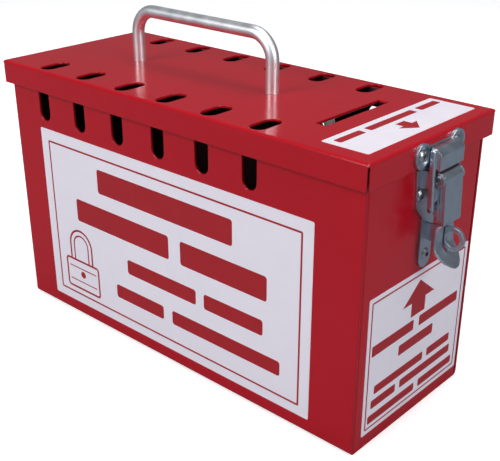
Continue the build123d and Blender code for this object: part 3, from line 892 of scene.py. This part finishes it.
@dataclass
class PrintedLabels:
    """The three vinyl labels. Plain bars stand where the words were, and the arrows and borders are generic.

    The artwork is in millimetres, across and up each label's face, measured from the CAD model's origin.
    """

    ink_mm: float = 0.05
    sunk_mm: float = 0.04
    front_border: Tuple[Point, Point] = ((-98.0, 14.0), (93.7, 110.4))
    front_line: float = 1.1
    front_bar_radius: float = 1.6
    front_bars: Sequence[Tuple[Point, Point]] = (
        ((-55.0, 88.5), (49.0, 103.0)),
        ((-76.0, 65.5), (2.0, 79.5)),
        ((11.0, 65.5), (72.0, 79.5)),
        ((-33.0, 45.0), (22.0, 54.0)),
        ((28.0, 45.0), (69.5, 54.0)),
        ((-44.0, 26.0), (-4.0, 34.5)),
        ((3.0, 26.0), (81.0, 34.5)),
    )
    end_inset: float = 2.3
    end_line: float = 0.9
    end_bar_radius: float = 0.9
    end_bars: Sequence[Tuple[Point, Point]] = (
        ((-37.0, 51.0), (-1.5, 56.8)),
        ((3.5, 51.0), (40.0, 56.8)),
        ((-13.5, 41.0), (17.5, 46.8)),
        ((-33.0, 28.2), (10.0, 33.0)),
        ((14.0, 28.2), (36.0, 33.0)),
        ((-35.0, 20.4), (-14.0, 25.2)),
        ((-10.0, 20.4), (37.5, 25.2)),
        ((-37.0, 12.2), (4.0, 16.8)),
        ((8.0, 12.2), (40.5, 16.8)),
    )
    top_bar_radius: float = 0.8
    top_bars: Sequence[Tuple[Point, Point]] = (
        ((100.6, -39.0), (105.0, -20.0)),
        ((100.6, -16.0), (105.0, 22.0)),
        ((100.6, 26.0), (105.0, 43.0)),
    )

    def front(self) -> Artwork:
        """Draws the large front label."""
        art = Artwork()
        art.border(*self.front_border, self.front_line)
        for low, high in self.front_bars:
            art.bar(low, high, self.front_bar_radius)
        PadlockSign().draw(art)
        return art

    def end(self) -> Artwork:
        """Draws the label under the latch, with an arrow up to it."""
        low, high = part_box("end_label")
        art = Artwork()
        art.border(
            (low.y / MM + self.end_inset, low.z / MM + self.end_inset),
            (high.y / MM - self.end_inset, high.z / MM - self.end_inset),
            self.end_line,
        )
        art.arrow(
            tip=(1.5, 78.0),
            head_base=67.0,
            head_half=14.0,
            tail_end=59.0,
            shaft_half=6.2,
            upward=True,
        )
        for bar_low, bar_high in self.end_bars:
            art.bar(bar_low, bar_high, self.end_bar_radius)
        return art

    def top(self) -> Artwork:
        """Draws the strip on the lid, with an arrow towards the latch."""
        art = Artwork()
        art.arrow(
            tip=(119.0, 2.0),
            head_base=112.5,
            head_half=7.5,
            tail_end=108.0,
            shaft_half=3.5,
            upward=False,
        )
        for low, high in self.top_bars:
            art.bar(low, high, self.top_bar_radius)
        return art

    def build(self, nodes: Dict[str, bpy.types.Object], shop: PaintShop) -> None:
        """Finishes the labels and prints them.

        Args:
            nodes: The CAD nodes by name.
            shop: The paint shop.
        """
        prints = (
            ("front_label", Face.FRONT, self.front(), "box_body"),
            ("end_label", Face.END, self.end(), "box_body"),
            ("top_label", Face.TOP, self.top(), "lid_body"),
        )
        for node, face, art, body in prints:
            shop.coat_all(nodes, (node,), Finish.VINYL)
            piece = art.mesh(f"{node}_ink", face.seat(node), self.sunk_mm * MM, self.ink_mm * MM)
            piece.data.materials.append(shop.finishes[Finish.INK])
            # The record has no slot for ink, so the prints name the slot of the enamel, which is as red.
            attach(piece, body)
            log.info("piece %s is printed on %s and rides on %s", piece.name, node, body)


@dataclass(frozen=True)
class SoftBox:
    """One rectangular lamp of the studio, in metres and watts.

    A glint lamp is only mirrored, and lights nothing.
    """

    name: str
    place: Tuple[float, float, float]
    size: Point
    power: float
    glint: bool = False

    def hang(self, aim: Vector) -> None:
        """Hangs the lamp.

        Args:
            aim: The point that it faces.
        """
        data = bpy.data.lights.new(self.name, "AREA")
        data.shape = "RECTANGLE"
        data.size, data.size_y = self.size
        data.energy = self.power
        lamp = bpy.data.objects.new(self.name, data)
        lamp.location = self.place
        lamp.rotation_euler = (aim - lamp.location).to_track_quat("-Z", "Y").to_euler()
        lamp.visible_diffuse = not self.glint
        bpy.context.scene.collection.objects.link(lamp)


@dataclass
class Studio:
    """A pale floor, soft lights and the photograph's camera.

    The camera's place, turn and lens were fitted to the photograph with the CAD model's own sizes. Its angles
    are in radians, and sizes with no unit in their name are in metres.
    """

    floor_size: float = 6.0
    sky_colour: str = "#F1F5FF"
    sky_strength: float = 0.16
    aim: Tuple[float, float, float] = (0.0, 0.0, 0.07)
    lamps: Sequence[SoftBox] = (
        SoftBox("key_softbox", place=(-0.35, -1.5, 0.95), size=(1.0, 0.8), power=20.5),
        SoftBox("end_softbox", place=(1.6, -0.1, 0.75), size=(0.7, 0.9), power=12.5),
        SoftBox("top_softbox", place=(0.1, 0.3, 1.9), size=(1.4, 1.0), power=17.0),
        SoftBox("spark_lamp", place=(0.62, -0.36, 1.45), size=(0.34, 0.34), power=7.0, glint=True),
    )
    focal_px: float = 902.122
    centre_px: Tuple[float, float] = (248.719, 250.284)
    yaw: float = 0.73606
    pitch: float = 0.45159
    roll: float = 0.00046
    distance_mm: float = 517.426
    target_mm: Tuple[float, float, float] = (13.795, 1.839, 56.676)
    sensor_mm: float = 36.0
    nearest_seen: float = 0.01

    def floor(self) -> None:
        """Lays the floor at the foot of the box."""
        half = self.floor_size / 2
        grid = bmesh.new()
        signs = ((-1, -1), (1, -1), (1, 1), (-1, 1))
        grid.faces.new([grid.verts.new((x * half, y * half, 0.0)) for x, y in signs])
        mesh = bpy.data.meshes.new("studio_floor")
        grid.to_mesh(mesh)
        grid.free()
        floor = bpy.data.objects.new("studio_floor", mesh)
        bpy.context.scene.collection.objects.link(floor)
        mesh.materials.append(StudioPaper().build())

    def sky(self) -> None:
        """Fills the studio with even light, a little cool."""
        world = bpy.data.worlds.new("studio_white")
        world.use_nodes = True
        tree = world.node_tree
        tree.nodes.clear()
        light = add_node(
            tree,
            "ShaderNodeBackground",
            {"Color": linear(self.sky_colour), "Strength": self.sky_strength},
        )
        add_node(tree, "ShaderNodeOutputWorld", {}, {"Surface": light.outputs["Background"]})
        bpy.context.scene.world = world

    def camera(self) -> None:
        """Sets the camera where the photograph was taken from."""
        back = Vector(
            (
                math.sin(self.yaw) * math.cos(self.pitch),
                -math.cos(self.yaw) * math.cos(self.pitch),
                math.sin(self.pitch),
            )
        )
        level = Vector((math.cos(self.yaw), math.sin(self.yaw), 0.0))
        right = level * math.cos(self.roll) + back.cross(level) * math.sin(self.roll)
        stance = Matrix((right, back.cross(right), back)).transposed().to_4x4()
        stance.translation = (Vector(self.target_mm) + back * self.distance_mm) * MM
        width, height = PHOTO_SIZE
        data = bpy.data.cameras.new("photo_camera")
        data.sensor_width = self.sensor_mm
        data.sensor_fit = "HORIZONTAL"
        data.lens = self.focal_px / width * self.sensor_mm
        data.shift_x = (width / 2 - self.centre_px[0]) / width
        data.shift_y = (self.centre_px[1] - height / 2) / width
        data.clip_start = self.nearest_seen
        camera = bpy.data.objects.new("photo_camera", data)
        camera.matrix_world = stance
        bpy.context.scene.collection.objects.link(camera)
        bpy.context.scene.camera = camera

    def build(self) -> None:
        """Sets up the floor, sky, lamps and camera."""
        self.floor()
        self.sky()
        for lamp in self.lamps:
            lamp.hang(Vector(self.aim))
        self.camera()
        # The photograph is plain display colour, so its whites clip as they do there.
        bpy.context.scene.view_settings.view_transform = "Standard"
        log.info("the studio is set")


def main() -> None:
    """Builds and dresses the box in order, then sets up the studio."""
    logging.basicConfig(level=logging.INFO, format="%(name)s: %(message)s")
    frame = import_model()
    nodes = frame["nodes"]
    shop = PaintShop()
    SheetBox().dress(nodes, shop)
    CarryHandle().dress(nodes, shop)
    ButtHinge().dress(nodes, shop)
    DrawLatch().dress(nodes, shop)
    PrintedLabels().build(nodes, shop)
    Studio().build()


if __name__ == "__main__":
    main()
